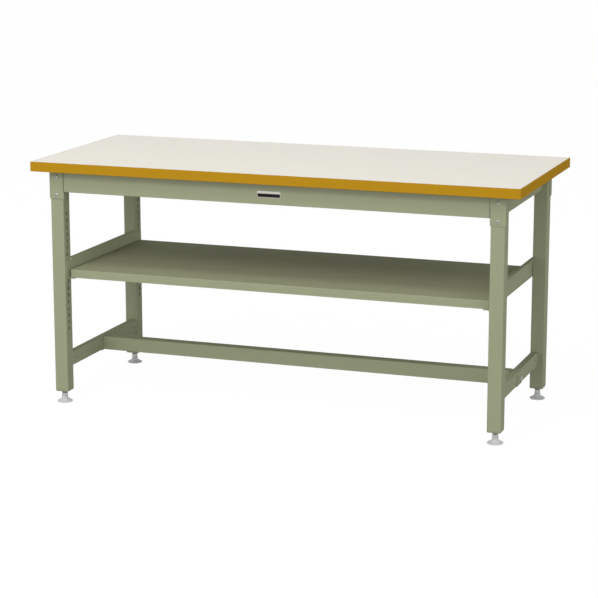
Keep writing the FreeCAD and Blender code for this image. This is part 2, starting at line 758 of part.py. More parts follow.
stiffener = piece("shelf_stiffener", z="shelf_top - shelf_sheet")
hat = sketch_on(stiffener, "stiffener_section", "YZ_Plane")
box_half = "stiffener_width / 2"
brim_half = "stiffener_width / 2 + stiffener_flange"
polygon(hat, [
    (f"-({brim_half})", "0"),
    (f"-({brim_half})", "-shelf_sheet"),
    (f"-({box_half})", "-shelf_sheet"),
    (f"-({box_half})", "-stiffener_height"),
    (box_half, "-stiffener_height"),
    (box_half, "-shelf_sheet"),
    (brim_half, "-shelf_sheet"),
    (brim_half, "0"),
    (f"{box_half} - shelf_sheet", "0"),
    (f"{box_half} - shelf_sheet", "-stiffener_height + shelf_sheet"),
    (f"-({box_half}) + shelf_sheet", "-stiffener_height + shelf_sheet"),
    (f"-({box_half}) + shelf_sheet", "0"),
])
pad(stiffener, hat, "2 * (shelf_x - shelf_sheet - stiffener_gap)", sides="Symmetric")


# ---------------------------------------------------------------------------------------------
# Shelf rails: a stepped Z section with hooks in two slots of each leg
# ---------------------------------------------------------------------------------------------
def shelf_rail(name, side):
    """A rail with x = 0 at the legs' inner faces and z = 0 at the middle of the lower slots."""
    body = piece(name, f"{side} * leg_inner_x", "0", "hook_z", 0 if side > 0 else 180)
    web_top = "rail_rise - rail_step"
    seat = sketch_on(body, name + "_seat", "XZ_Plane")
    polygon(seat, [
        ("0", "-rail_drop - rail_sheet"),
        ("0", web_top),
        ("-rail_sheet", web_top),
        ("-rail_sheet", "-rail_drop"),
        ("-rail_seat", "-rail_drop"),
        ("-rail_seat", "-rail_drop - rail_sheet"),
    ])
    pad(body, seat, "2 * (leg_front - rail_setback)", sides="Symmetric")
    flange = sketch_on(body, name + "_flange", "XZ_Plane")
    polygon(flange, [
        ("0", web_top),
        ("0", "rail_rise - rail_sheet"),
        ("rail_flange", "rail_rise - rail_sheet"),
        ("rail_flange", "rail_rise"),
        ("-rail_sheet", "rail_rise"),
        ("-rail_sheet", web_top),
    ])
    pad(body, flange, "2 * (leg_inner_y - rail_leg_gap)", sides="Symmetric")
    corners = sketch_on(body, name + "_corners", "XY_Plane", "-rail_drop")
    for end in (-1, 1):
        inner = f"{end} * (leg_front - rail_seat_setback)"
        outer = f"{end} * (leg_front - rail_setback + rail_sheet)"
        rectangle(corners, "-rail_seat - rail_sheet", inner, "-rail_sheet", outer)
    pocket(body, corners, "rail_sheet")
    holes = sketch_on(body, name + "_holes", "XY_Plane", "-rail_drop")
    for end in (-1, 1):
        circle(holes, "screw_hole", "shelf_screw_x - leg_inner_x", f"{end} * shelf_screw_y")
    pocket(body, holes, "rail_sheet")
    inside = "leg_wall + hook_gap"
    for end in (-1, 1):
        suffix = "_hooks_front" if end < 0 else "_hooks_back"
        # the XZ plane's normal points to the front
        hooks = sketch_on(body, name + suffix, "XZ_Plane", f"{-end} * leg_y")
        for level in ("0", "slot_pitch"):
            neck = f"{level} - slot_height / 2"
            polygon(hooks, [
                ("-rail_sheet", neck),
                (inside, neck),
                (inside, f"{neck} - hook_reach"),
                (f"{inside} + hook_tip", f"{neck} - hook_reach"),
                (f"{inside} + hook_tip", f"{neck} + hook_height"),
                ("-rail_sheet", f"{neck} + hook_height"),
            ])
        pad(body, hooks, "hook_width", sides="Symmetric")


# ---------------------------------------------------------------------------------------------
# Lower rails: a tube between the legs of each side, and a cross rail between two saddles
# ---------------------------------------------------------------------------------------------
def square_tube(body, name, role, width, height, length, radius, wall):
    """A rectangular tube about the body's origin, along the normal of the given plane."""
    outline = sketch_on(body, name + "_outline", role)
    centred(outline, width, height)
    pad(body, outline, length, sides="Symmetric")
    along = {"XZ_Plane": "y", "YZ_Plane": "x"}[role]
    round_edges(body, radius, lambda edge: runs_along(edge, along))
    bore = sketch_on(body, name + "_bore", role)
    centred(bore, f"{width} - 2 * {wall}", f"{height} - 2 * {wall}")
    pocket(body, bore, length, sides="Symmetric")


def lower_rail(name, side):
    """A side rail with a bolt hole at its middle and a hole near each end."""
    body = piece(name, f"{side} * (lower_x)", "0", "lower_z")
    square_tube(body, name, "XZ_Plane", "lower_width", "lower_height", "2 * leg_inner_y",
                "lower_radius", "lower_wall")
    holes = sketch_on(body, name + "_holes", "YZ_Plane")
    circle(holes, "bolt_hole")
    for end in (-1, 1):
        circle(holes, "lower_hole / 2", f"{end} * (leg_inner_y - lower_hole_setback)")
    pocket(body, holes, "2 * lower_width", sides="Symmetric")


def end_plate(name, side):
    """The plate that closes an end of the cross rail."""
    body = piece(name, f"{side} * (cross_x)", "0", "lower_z", 0 if side > 0 else 180)
    outline = sketch_on(body, name + "_outline", "YZ_Plane")
    centred(outline, "cross_depth - 2 * end_plate_margin", "lower_height - 2 * end_plate_margin")
    circle(outline, "bolt_hole")
    pad(body, outline, "end_plate")


def saddle(name, side):
    """A U of sheet that holds a lower side rail from below."""
    body = piece(name, f"{side} * (lower_x)", "0", "lower_z", 0 if side > 0 else 180)
    inner = "lower_width / 2"
    outer = "(lower_width / 2 + saddle_wall)"
    low = "(-lower_height / 2 - saddle_wall)"
    high = f"{low} + saddle_height"
    section = sketch_on(body, name + "_section", "XZ_Plane")
    polygon(section, [
        (f"-{outer}", low),
        (outer, low),
        (outer, high),
        (inner, high),
        (inner, f"{low} + saddle_wall"),
        (f"-{inner}", f"{low} + saddle_wall"),
        (f"-{inner}", high),
        (f"-{outer}", high),
    ])
    pad(body, section, "saddle_length", sides="Symmetric")
    bottom = number(low)
    round_edges(body, "saddle_radius", lambda edge: runs_along(edge, "y") and lies_at(edge, "z", bottom))
    hole = sketch_on(body, name + "_hole", "YZ_Plane")
    circle(hole, "bolt_hole")
    pocket(body, hole, "2 * lower_width", sides="Symmetric")


for end, side in ENDS:
    shelf_rail("shelf_rail_" + end, side)
    lower_rail("lower_rail_" + end, side)
    end_plate("cross_rail_end_plate_" + end, side)
    saddle("cross_rail_saddle_" + end, side)

cross_rail = piece("cross_rail", z="lower_z")
square_tube(cross_rail, "cross_rail", "YZ_Plane", "cross_depth", "lower_height", "2 * (cross_x)",
            "lower_radius", "lower_wall")


# ---------------------------------------------------------------------------------------------
# Fasteners: each kind is drawn once along Z, head down or up, and copied to its places
# ---------------------------------------------------------------------------------------------
def master(name):
    """The body of a fastener that is only written as copies."""
    body = doc.addObject("PartDesign::Body", name)
    body.Label = name
    return body


def button_bolt():
    """A button-head bolt along +Y, its head's underside at y = 0."""
    body = master("button_bolt")
    head = sketch_on(body, "button_head", "XZ_Plane")
    circle(head, "button_diameter / 2")
    pad(body, head, "button_height")
    face = -number("button_height")
    round_edges(body, "button_dome", lambda edge: lies_at(edge, "y", face))
    socket = sketch_on(body, "button_socket", "XZ_Plane", "button_height")
    hexagon(socket, "button_socket")
    pocket(body, socket, "button_socket_depth")
    shank = sketch_on(body, "button_shank", "XZ_Plane")
    circle(shank, "bolt_diameter / 2")
    pad(body, shank, "button_length", backwards=True)
    return body


def frame_nut():
    """A hexagon nut along +Y from y = 0."""
    body = master("frame_nut")
    outline = sketch_on(body, "frame_nut_outline", "XZ_Plane")
    hexagon(outline, "hex_across")
    circle(outline, "nut_bore")
    pad(body, outline, "nut_height", backwards=True)
    return body


def hexagon_bolt():
    """A hexagon bolt along +Y, its head's underside at y = 0, long enough for its nut."""
    body = master("hexagon_bolt")
    head = sketch_on(body, "hexagon_head", "XZ_Plane")
    hexagon(head, "hex_across")
    pad(body, head, "hex_head")
    chamfer_corners(body, "hexagon_head_chamfer", "hex_across", "-hex_head", 1, axis="y")
    shank = sketch_on(body, "hexagon_shank", "XZ_Plane")
    circle(shank, "bolt_diameter / 2")
    length = "washer_thickness + saddle_outer - cross_x + nut_height + bolt_end"
    pad(body, shank, length, backwards=True)
    return body


def washer():
    """A washer along +Y from y = 0."""
    body = master("washer")
    outline = sketch_on(body, "washer_outline", "XZ_Plane")
    circle(outline, "washer_diameter / 2")
    circle(outline, "bolt_hole")
    pad(body, outline, "washer_thickness", backwards=True)
    return body


def sheet_screw(name, length):
    """A pan-head screw along +Z, its head's upper side at z = 0."""
    body = master(name)
    head = sketch_on(body, name + "_head", "XY_Plane")
    circle(head, "screw_head / 2")
    pad(body, head, "screw_head_height", backwards=True)
    shank = sketch_on(body, name + "_shank", "XY_Plane")
    circle(shank, "screw_diameter / 2")
    pad(body, shank, length)
    return body


# the bracket bolts and the nuts inside the legs share their heights
bolt_places = []
nut_places = []
for corner, side_x, side_y in CORNERS:
    turn = corner_turn(side_y)
    for level in ("upper_bolt_z", "lower_bolt_z"):
        across = f"{side_x} * leg_x"
        bolt_places.append((across, f"{side_y} * (bracket_front)", level, turn))
        nut_places.append((across, f"{side_y} * (leg_front - leg_wall)", level, turn))
frame_nut_master = frame_nut()
group("bracket_bolts", button_bolt(), bolt_places)
group("bracket_nuts", frame_nut_master, nut_places)

# turned a quarter, +Y of a fastener points to the table's middle
cross_bolts = []
cross_washers = []
cross_nuts = []
for end, side in ENDS:
    turn = 90 * side
    outer = f"{side} * (saddle_outer)"
    cross_washers.append((f"{outer} + {side} * washer_thickness", "0", "lower_z", turn))
    cross_bolts.append((f"{outer} + {side} * washer_thickness", "0", "lower_z", turn))
    cross_nuts.append((f"{side} * (cross_x)", "0", "lower_z", turn))
group("cross_rail_bolts", hexagon_bolt(), cross_bolts)
group("cross_rail_washers", washer(), cross_washers)
group("cross_rail_nuts", frame_nut_master, cross_nuts)

under_flange = "underside - beam_wall"
group("worktop_screws", sheet_screw("worktop_screw", "top_screw_length"),
      [(x, y, under_flange, 0) for x, y in TOP_SCREWS])
group("shelf_screws", sheet_screw("shelf_screw", "shelf_screw_length"),
      [(x, y, "seat_z - rail_sheet", 0) for x, y in SHELF_SCREWS])

# ---------------------------------------------------------------------------------------------
# Check every object, then write each piece to its own file
# ---------------------------------------------------------------------------------------------
doc.recompute()
for item in doc.Objects:
    if "Invalid" in item.State or "Error" in item.State:
        raise RuntimeError(f"{item.Label} failed: {item.State}")
for item in pieces:
    if item.Shape.isNull() or not item.Shape.isValid() or not item.Shape.Solids:
        raise RuntimeError(f"{item.Label} has no valid solid")

os.makedirs("parts", exist_ok=True)
for item in pieces:
    item.Shape.exportStep(f"parts/{item.Label}.step")
print(f"{len(pieces)} pieces written")
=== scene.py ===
import math

import bpy
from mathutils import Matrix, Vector


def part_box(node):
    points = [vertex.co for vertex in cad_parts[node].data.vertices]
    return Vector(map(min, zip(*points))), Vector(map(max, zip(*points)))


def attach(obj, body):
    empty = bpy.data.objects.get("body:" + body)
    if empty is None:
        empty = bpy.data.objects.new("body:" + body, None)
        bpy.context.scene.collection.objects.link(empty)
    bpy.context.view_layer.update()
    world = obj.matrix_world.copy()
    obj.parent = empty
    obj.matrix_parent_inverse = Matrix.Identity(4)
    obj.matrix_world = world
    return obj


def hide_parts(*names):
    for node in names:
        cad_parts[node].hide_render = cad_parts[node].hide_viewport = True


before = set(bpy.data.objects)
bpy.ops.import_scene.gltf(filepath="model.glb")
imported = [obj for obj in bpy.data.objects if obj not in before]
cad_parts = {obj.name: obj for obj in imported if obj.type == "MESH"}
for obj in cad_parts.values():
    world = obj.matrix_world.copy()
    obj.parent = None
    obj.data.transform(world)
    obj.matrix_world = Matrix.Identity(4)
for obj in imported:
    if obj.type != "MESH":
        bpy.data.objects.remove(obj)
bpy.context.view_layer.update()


# Camera: a long lens two metres above the floor, seven metres in front of the table's middle and
# to its right. It looks a little down and to the left. Lens and sensor are in millimetres.
CAMERA_PLACE = (2.4658, -6.8999, 1.9930)
CAMERA_AIM = Vector((-0.32997, 0.91920, -0.21491))
CAMERA_LENS = 123.47
CAMERA_SENSOR = 36

camera_data = bpy.data.cameras.new("camera")
camera_data.lens = CAMERA_LENS
camera_data.sensor_width = CAMERA_SENSOR
camera = bpy.data.objects.new("camera", camera_data)
camera.location = CAMERA_PLACE
camera.rotation_mode = "QUATERNION"
camera.rotation_quaternion = CAMERA_AIM.to_track_quat("-Z", "Y")
bpy.context.scene.collection.objects.link(camera)
bpy.context.scene.camera = camera
bpy.context.scene.view_settings.view_transform = "Standard"


# Worktop: a chipboard core under a warm white laminate, with a brown balancing sheet below. The
# laminate is pressed on with heat and has a faint pearl texture. Screws hold it to the frame.
NOISE_WEAK, NOISE_STRONG = 0.3, 0.7  # most values of a noise lie between these two


class Output:
    """One output of a node. Arithmetic on it adds the Math nodes that it means."""

    def __init__(self, shading, socket):
        self.shading = shading
        self.socket = socket

    def math(self, operation, *values):
        """The output of a Math node on the values."""
        return self.shading.node("Math", {"operation": operation}, dict(enumerate(values)))

    def __add__(self, other):
        return self.math("ADD", self, other)

    def __sub__(self, other):
        return self.math("SUBTRACT", self, other)

    def __rsub__(self, other):
        return self.math("SUBTRACT", other, self)

    def __mul__(self, other):
        return self.math("MULTIPLY", self, other)

    def __abs__(self):
        return self.math("ABSOLUTE", self)

    __radd__ = __add__
    __rmul__ = __mul__


class Shading:
    """A tree of nodes: adds nodes and fills their inputs."""

    def __init__(self, tree):
        self.tree = tree
        self.nodes = tree.nodes

    def fill(self, node, values):
        """Set a node's inputs, by name or number, to values or to other nodes' outputs."""
        for key, value in values.items():
            if isinstance(value, Output):
                self.tree.links.new(value.socket, node.inputs[key])
            else:
                node.inputs[key].default_value = value

    def node(self, kind, settings, values, output=0):
        """Add a node, set it up, fill its inputs and give back one of its outputs."""
        node = self.nodes.new("ShaderNode" + kind)
        for setting, value in settings.items():
            setattr(node, setting, value)
        self.fill(node, values)
        return Output(self, node.outputs[output])

    def smooth(self, value, low, high, start=0.0, end=1.0):
        """Value turned from low..high into start..end, with soft ends."""
        ranges = {"From Min": low, "From Max": high, "To Min": start, "To Max": end}
        settings = {"interpolation_type": "SMOOTHSTEP"}
        return self.node("MapRange", settings, {"Value": value} | ranges)

    def mix(self, amount, first, second):
        """First colour where amount is 0, second where it is 1."""
        ends = [end if isinstance(end, Output) else (*end, 1) for end in (first, second)]
        # a Mix node takes colours at its inputs 6 and 7, and gives one at its output 2
        return self.node("Mix", {"data_type": "RGBA"}, {0: amount, 6: ends[0], 7: ends[1]}, 2)


class Finish(Shading):
    """A new material with one principled shader, its constants and what varies over it.

    Every pattern is laid out in the table's own metres.
    """

    def __init__(self, name, color, constants):
        self.material = bpy.data.materials.new(name)
        self.material.use_nodes = True
        self.material.diffuse_color = (*color, 1)
        super().__init__(self.material.node_tree)
        self.shader = self.nodes["Principled BSDF"]
        self.color = color
        self.fill(self.shader, constants | {"Base Color": (*color, 1)})
        self.place = self.node("TexCoord", {}, {}, "Object")

    def along(self, axis):
        """The place along X, Y or Z, in metres."""
        return self.node("SeparateXYZ", {}, {"Vector": self.place}, axis)

    def noise(self, size, detail=2.0, stretch=(1, 1, 1)):
        """Noise between 0 and 1 whose grains are about size metres across, times stretch."""
        scale = [1 / (size * share) for share in stretch]
        place = self.node("Mapping", {}, {"Vector": self.place, "Scale": scale})
        return self.node("TexNoise", {}, {"Vector": place, "Scale": 1.0, "Detail": detail})

    def vary(self, noise, low, high):
        """A value from low, where the noise is weak, to high, where it is strong."""
        return self.smooth(noise, NOISE_WEAK, NOISE_STRONG, low, high)

    def shades(self, amount, spread):
        """The finish's colour, darker where amount is 0 and lighter where it is 1."""
        dark = [part * (1 - spread) for part in self.color]
        light = [part * (1 + spread) for part in self.color]
        return self.mix(amount, dark, light)

    def bump(self, height, depth, strength):
        """A normal from a height between 0 and 1 that stands for depth metres."""
        values = {"Height": height, "Distance": depth, "Strength": strength}
        return self.node("Bump", {}, values)

    def link(self, **varying):
        """Link what changes over the surface to the shader, such as base_color or normal."""
        self.fill(self.shader, {key.replace("_", " ").title(): value
                                for key, value in varying.items()})


def dress(finish, *names):
    """Give CAD nodes a finish."""
    for name in names:
        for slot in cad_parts[name].material_slots:
            slot.material = finish.material


laminate = Finish("laminate", (0.90, 0.855, 0.715), {"IOR": 1.5})
cloud = laminate.noise(size=0.18, detail=3.0)
pearl = laminate.noise(size=0.0012, detail=1.0)
laminate.link(base_color=laminate.shades(cloud, spread=0.012),
              roughness=laminate.vary(laminate.noise(size=0.05), low=0.33, high=0.39),
              normal=laminate.bump(pearl, depth=0.00006, strength=0.5))
dress(laminate, "worktop_laminate")

chipboard = Finish("chipboard", (0.50, 0.35, 0.19), {"Roughness": 0.85})
flakes = chipboard.noise(size=0.004, detail=3.0, stretch=(2.2, 2.2, 0.6))
chipboard.link(base_color=chipboard.shades(flakes, spread=0.45),
               normal=chipboard.bump(flakes, depth=0.0006, strength=0.6))
dress(chipboard, "worktop_core")

backing = Finish("backing_sheet", (0.30, 0.20, 0.115), {"Roughness": 0.7})
fibre = backing.noise(size=0.003, detail=3.0, stretch=(8, 1, 1))
backing.link(base_color=backing.shades(fibre, spread=0.12),
             normal=backing.bump(fibre, depth=0.0001, strength=0.5))
dress(backing, "worktop_backing")


# Edge bands: mustard-yellow plastic, extruded, glued on and routed round at its edges. The
# cutter leaves fine marks across the band.
band = Finish("edge_band", (0.470, 0.249, 0.0125), {"Specular IOR Level": 0.0005})
marks = band.noise(size=0.0006, detail=1.0, stretch=(1, 1, 30))
band.link(base_color=band.shades(band.noise(size=0.22), spread=0.03),
          roughness=band.vary(band.noise(size=0.03), low=0.30, high=0.38),
          normal=band.bump(marks, depth=0.00004, strength=0.5))
dress(band, "edge_band_front", "edge_band_back", "edge_band_left", "edge_band_right")


# Beams: folded steel channels under the worktop, welded to the brackets or the legs and coated
# with them in satin grey-green powder. The coat has a fine orange-peel skin, and a thin line of
# painted shade in the joint at each end of the long beams, in place of the joint's shadow.
COAT = (0.350, 0.366, 0.226)
BEAM_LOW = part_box("front_beam")[0][2]
BEAM_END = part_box("front_beam")[1][0]
# the painted shade in the joint: how far its core and its soft edge reach to both sides, how far
# above the beam's lower edge it is in full, its colour, and how strongly that shows
JOINT_SHADE_CORE = 0.0012
JOINT_SHADE_EDGE = 0.0026
JOINT_SHADE_RISE = 0.0005
JOINT_SHADE_COLOR = [part * 0.2 for part in COAT]
JOINT_SHADE_AMOUNT = 0.6


def powder_coat(name, joints=False):
    """The frame's coat, with painted joint shade at both ends of the long beams where asked for."""
    coat = Finish(name, COAT, {"Specular IOR Level": 0.0008})
    shade = coat.shades(coat.noise(size=0.30, detail=3.0), spread=0.02)
    if joints:
        # painted shade: a thin dark line across the coat at each beam end, standing in for the
        # joint's shadow
        off = abs(abs(coat.along("X")) - BEAM_END)
        near = coat.smooth(off, JOINT_SHADE_EDGE, JOINT_SHADE_CORE)
        beside = coat.smooth(coat.along("Z"), BEAM_LOW, BEAM_LOW + JOINT_SHADE_RISE)
        shade = coat.mix(near * beside * JOINT_SHADE_AMOUNT, shade, JOINT_SHADE_COLOR)
    peel = coat.noise(size=0.0022, detail=1.0)
    coat.link(base_color=shade,
              roughness=coat.vary(coat.noise(size=0.06), low=0.42, high=0.48),
              normal=coat.bump(peel, depth=0.00012, strength=0.5))
    return coat


# this coat carries the painted joint shade; the long beams and the brackets share it
coat_with_joint_shade = powder_coat("coat_painted_joint_shade", joints=True)
dress(coat_with_joint_shade, "front_beam", "back_beam")
paint = powder_coat("frame_coat")
dress(paint, "left_beam", "right_beam")


# Name plate: a thin pressed aluminium plate glued to the front beam. Its rim stands up bright and
# its lower field is black. It is bare.
PLATE_CORNER = 0.002
PLATE_RIM = 0.0012
PLATE_SUNK = 0.0004
# the black field: how far it reaches above the plate's middle, and how wide its soft edges are
FIELD_REACH = 0.0030
FIELD_TOP_FADE = 0.0008
FIELD_RIM_FADE = 0.0006
FIELD_COLOR = (0.008, 0.007, 0.007)
plate_low, plate_high = (Vector(corner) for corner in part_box("name_plate"))
plate_middle = (plate_low + plate_high) / 2


def pick(piece, kind, wanted):
    """Select the edges or polygons of the piece being edited that wanted says yes to."""
    bpy.ops.mesh.select_all(action="DESELECT")
    bpy.ops.object.mode_set(mode="OBJECT")
    for part in getattr(piece.data, kind):
        part.select = wanted(part)
    bpy.ops.object.mode_set(mode="EDIT")


def runs_through(edge):
    """True for the four edges through the plate's thickness."""
    first, second = (name_plate.data.vertices[index].co for index in edge.vertices)
    return abs(first.y - second.y) > (plate_high.y - plate_low.y) / 2


def faces_front(polygon):
    """True for the plate's front face, which looks along -Y."""
    return round(polygon.normal.y) == -1


bpy.ops.object.select_all(action="DESELECT")
bpy.ops.mesh.primitive_cube_add(size=1, location=plate_middle, scale=plate_high - plate_low)
bpy.ops.object.transform_apply(location=True, rotation=True, scale=True)
name_plate = bpy.context.object
name_plate.name = "plate_bare"
bpy.ops.object.mode_set(mode="EDIT")
bpy.ops.mesh.select_mode(type="EDGE")
pick(name_plate, "edges", runs_through)
bpy.ops.mesh.bevel(offset=PLATE_CORNER, segments=5)
bpy.ops.mesh.select_mode(type="FACE")
pick(name_plate, "polygons", faces_front)
bpy.ops.mesh.inset(thickness=PLATE_RIM)
bpy.ops.mesh.inset(thickness=PLATE_SUNK, depth=-PLATE_SUNK)
bpy.ops.object.mode_set(mode="OBJECT")
bpy.ops.object.shade_smooth_by_angle(angle=math.radians(30))

aluminium = Finish("pressed_aluminium", (0.60, 0.58, 0.53), {"Specular IOR Level": 0.15})
brushed = aluminium.noise(size=0.0008, stretch=(40, 1, 1))
field_top = plate_middle.z + FIELD_REACH
field_low = plate_low.z + PLATE_RIM
field_side = plate_high.x - PLATE_RIM
below = aluminium.smooth(aluminium.along("Z"), field_top, field_top - FIELD_TOP_FADE)
above = aluminium.smooth(aluminium.along("Z"), field_low, field_low + FIELD_RIM_FADE)
inside = aluminium.smooth(abs(aluminium.along("X")), field_side, field_side - FIELD_RIM_FADE)
field = below * inside * above
silver = aluminium.shades(brushed, spread=0.1)
aluminium.link(base_color=aluminium.mix(field, silver, FIELD_COLOR),
               metallic=1 - field,
               roughness=aluminium.vary(brushed, low=0.30, high=0.42),
               normal=aluminium.bump(brushed, depth=0.00002, strength=0.4))
name_plate.data.materials.append(aluminium.material)
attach(name_plate, "table")
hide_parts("name_plate")


# Corner brackets: a U of sheet steel around the top of each leg, welded to the long beams. Two
# zinc-plated button-head bolts go through its face into nuts in the leg. Their hex sockets are
# painted near-black as painted shade, for the shadow deep inside them.
CORNERS = ["front_left", "front_right", "back_left", "back_right"]
UPPER_BOLT_DROP = 0.0200
LOWER_BOLT_RISE = 0.0135
HEAD_RADIUS = 0.0070
HEAD_TOP = 0.0044
SOCKET_ACROSS = 0.0050
SOCKET_DEPTH = 0.0028
# radius and height of each ring, from the shank's end up to the flat top of the head
BOLT_ROWS = [(0.0032, -0.0160), (0.0040, -0.0150), (0.0040, -0.0002), (HEAD_RADIUS - 0.0002, 0),
             (HEAD_RADIUS, 0.0003), (HEAD_RADIUS, 0.0008), (0.0067, 0.0019), (0.0059, 0.0030),
             (0.0048, 0.0038), (0.0037, 0.0043), (0.0033, HEAD_TOP)]


def at_corners(part):
    """The names of a part's four nodes, one at each corner of the table."""
    return [f"{part}_{corner}" for corner in CORNERS]


def turned(name, rows, sides=48):
    """A closed solid turned about the Z axis from rows of radius and height."""
    radius, height = rows[0]
    bpy.ops.object.select_all(action="DESELECT")
    bpy.ops.mesh.primitive_circle_add(vertices=sides, radius=radius)
    solid = bpy.context.object
    solid.name = name
    bpy.ops.object.mode_set(mode="EDIT")
    bpy.ops.mesh.select_mode(type="VERT")
    bpy.ops.transform.translate(value=(0, 0, height))
    for wide, level in rows[1:]:
        bpy.ops.mesh.extrude_region_move(TRANSFORM_OT_translate={"value": (0, 0, level - height)})
        share = wide / radius
        bpy.ops.transform.resize(value=(share, share, 1), center_override=(0, 0, level))
        radius, height = wide, level
    bpy.ops.mesh.select_all(action="SELECT")
    bpy.ops.mesh.fill_holes(sides=0)
    bpy.ops.mesh.select_all(action="SELECT")
    bpy.ops.mesh.normals_make_consistent(inside=False)
    bpy.ops.object.mode_set(mode="OBJECT")
    return solid


def cut(solid, tool, operation):
    """Cut a solid with a tool, or keep only what is in both, and throw the tool away."""
    change = solid.modifiers.new("cut", "BOOLEAN")
    change.operation = operation
    change.solver = "EXACT"
    change.object = tool
    bpy.context.view_layer.objects.active = solid
    bpy.ops.object.modifier_apply(modifier=change.name)
    bpy.data.objects.remove(tool)


def hexagon(across, low, high):
    """A hexagonal prism about the Z axis, with its corners to the front and the back."""
    bpy.ops.object.select_all(action="DESELECT")
    bpy.ops.mesh.primitive_cylinder_add(vertices=6, radius=across / math.sqrt(3), depth=high - low,
                                        location=(0, 0, (low + high) / 2))
    bpy.ops.object.transform_apply(location=True, rotation=True, scale=True)
    return bpy.context.object


def copied(model, name, place, lean=0.0):
    """A copy of a model with its own mesh, leaned about X and moved to its place."""
    bpy.ops.object.select_all(action="DESELECT")
    model.select_set(True)
    bpy.context.view_layer.objects.active = model
    bpy.ops.object.duplicate(linked=False)
    copy = bpy.context.object
    copy.name = name
    copy.rotation_euler = (lean, 0, 0)
    copy.location = place
    bpy.ops.object.transform_apply(location=True, rotation=True, scale=True)
    return copy


def plated(name, color, spread):
    """Zinc-plated steel, a little cloudy and with a fine grain."""
    plating = Finish(name, color, {"Metallic": 1.0})
    sheen = plating.noise(size=0.002, detail=3.0)
    plating.link(base_color=plating.shades(plating.noise(size=0.004), spread),
                 roughness=plating.vary(sheen, low=0.34, high=0.48),
                 normal=plating.bump(plating.noise(size=0.0005), depth=0.00003, strength=0.5))
    return plating


dress(coat_with_joint_shade, *at_corners("corner_bracket"))
zinc = plated("zinc_steel", (0.49, 0.49, 0.46), spread=0.08)
dress(zinc, "bracket_nuts", "worktop_screws")
# painted shade: a near-black finish for the bolts' sockets, standing in for the shadow inside them
painted_socket_shade = Finish("socket_painted_shade", (0.020, 0.020, 0.018), {"Specular IOR Level": 0.1})
painted_socket_shade.link(base_color=painted_socket_shade.shades(painted_socket_shade.noise(size=0.001), spread=0.2),
            roughness=painted_socket_shade.vary(painted_socket_shade.noise(size=0.0006), low=0.5, high=0.7))

bolt = turned("button_bolt", BOLT_ROWS)
cut(bolt, hexagon(SOCKET_ACROSS, HEAD_TOP - SOCKET_DEPTH, HEAD_TOP + SOCKET_DEPTH), "DIFFERENCE")
for finish in (zinc, painted_socket_shade):
    bolt.data.materials.append(finish.material)
# only the socket's floor and walls have their middles inside the head and near its axis
for polygon in bolt.data.polygons:
    in_head = 0 < polygon.center.z < HEAD_TOP - SOCKET_DEPTH / 3
    near_axis = polygon.center.xy.length < SOCKET_ACROSS / math.sqrt(3)
    polygon.material_index = int(in_head and near_axis)
bpy.context.view_layer.objects.active = bolt
bolt.select_set(True)
bpy.ops.object.shade_smooth_by_angle(angle=math.radians(40))
for corner in CORNERS:
    low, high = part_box("corner_bracket_" + corner)
    across = (low[0] + high[0]) / 2
    if corner.startswith("front"):
        face, lean = low[1], math.pi / 2
    else:
        face, lean = high[1], -math.pi / 2
    heights = {"upper": high[2] - UPPER_BOLT_DROP, "lower": low[2] + LOWER_BOLT_RISE}
    for level, height in heights.items():
        piece = copied(bolt, f"{level}_bolt_{corner}", (across, face, height), lean)
        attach(piece, "table")
        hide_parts("bracket_bolts")
bpy.data.objects.remove(bolt)


# Legs: square steel tube with a row of punched slots on the inner side, closed at the bottom by a
# moulded end cap in the same colour, which carries the foot's thread.
dress(paint, *at_corners("leg"))
cap = Finish("end_cap", (0.330, 0.342, 0.205), {"Roughness": 0.5, "Specular IOR Level": 0.05})
cap.link(base_color=cap.shades(cap.noise(size=0.02), spread=0.03),
         normal=cap.bump(cap.noise(size=0.0009), depth=0.00008, strength=0.6))
dress(cap, *at_corners("leg_end_cap"))


# Shelf: a steel sheet with folded lips and a stiffener below, screwed to two rails whose hooks
# hang in the legs' slots. All of it but the screws has the frame's coat.
dress(paint, "shelf_panel", "shelf_stiffener", "shelf_rail_left", "shelf_rail_right")
dress(zinc, "shelf_screws")


# Lower frame: a tube between the legs on each side, and a cross rail between them whose end
# plates and saddles are clamped around the tubes by one bolt at each end.
dress(paint, "lower_rail_left", "lower_rail_right", "cross_rail")
for side in ("left", "right"):
    dress(paint, "cross_rail_end_plate_" + side, "cross_rail_saddle_" + side)
dress(zinc, "cross_rail_bolts", "cross_rail_washers", "cross_rail_nuts")


# Levelling feet: a moulded nylon pad, hollow below and with a ringed neck, turns on the end of a
# zinc-plated steel stem. The stem has an M12 thread and a hexagon collar for the spanner, and a
# lock nut holds it. The nut's zinc is painted darker, as painted shade of the leg above it.
COLLAR_ACROSS = 0.0190
THREAD_RADIUS = 0.0060
THREAD_SIZE = 0.0009
THREAD_START = 0.0345
THREAD_PITCH = 0.00175
THREAD_TURNS = 34
THREAD_STEPS = 24
